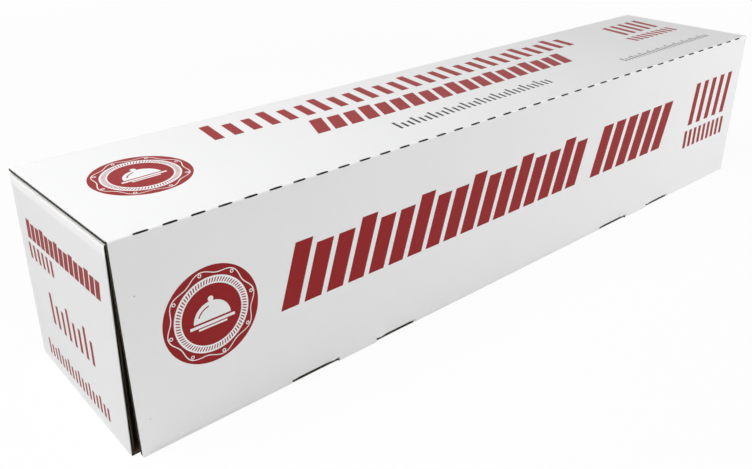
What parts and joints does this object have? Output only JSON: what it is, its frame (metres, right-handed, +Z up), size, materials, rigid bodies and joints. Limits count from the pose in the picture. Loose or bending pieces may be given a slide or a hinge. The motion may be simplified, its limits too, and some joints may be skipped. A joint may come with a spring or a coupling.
{
  "type": "aluminium foil roll",
  "caption": "Roll of catering aluminium foil on a card core, in a long white corrugated carton with a hinged front flap, tuck-under feet and a toothed steel cutting edge.",
  "frame": {"origin": "middle of the tray's bottom face", "axes": "+X along the roll to the right, +Y to the back where the lid is joined, +Z up"},
  "size_m": [0.472, 0.1022, 0.098],
  "materials": {
    "white_board": "corrugated board, white clay-coated outside with a soft sheen and red print, brown kraft inside and at its cut edges",
    "foil": "bright rolled foil with fine lines along its length of travel",
    "core_board": "brown core board, wound in a spiral, matt",
    "cutter_steel": "thin tinned steel strip with stamped teeth"
  },
  "bodies": {
    "box": {"carton": "white_board", "foil_roll": "foil", "core_tube": "core_board", "cutter_strip": "cutter_steel"},
    "flap": {"front_flap": "white_board"}
  },
  "joints": [
    {"name": "flap_crease", "type": "hinge", "parent": "box", "child": "flap", "pos_m": [0, -0.0527, 0.098], "axis": [-1, 0, 0], "range_deg": [0, 260]}
  ]
}
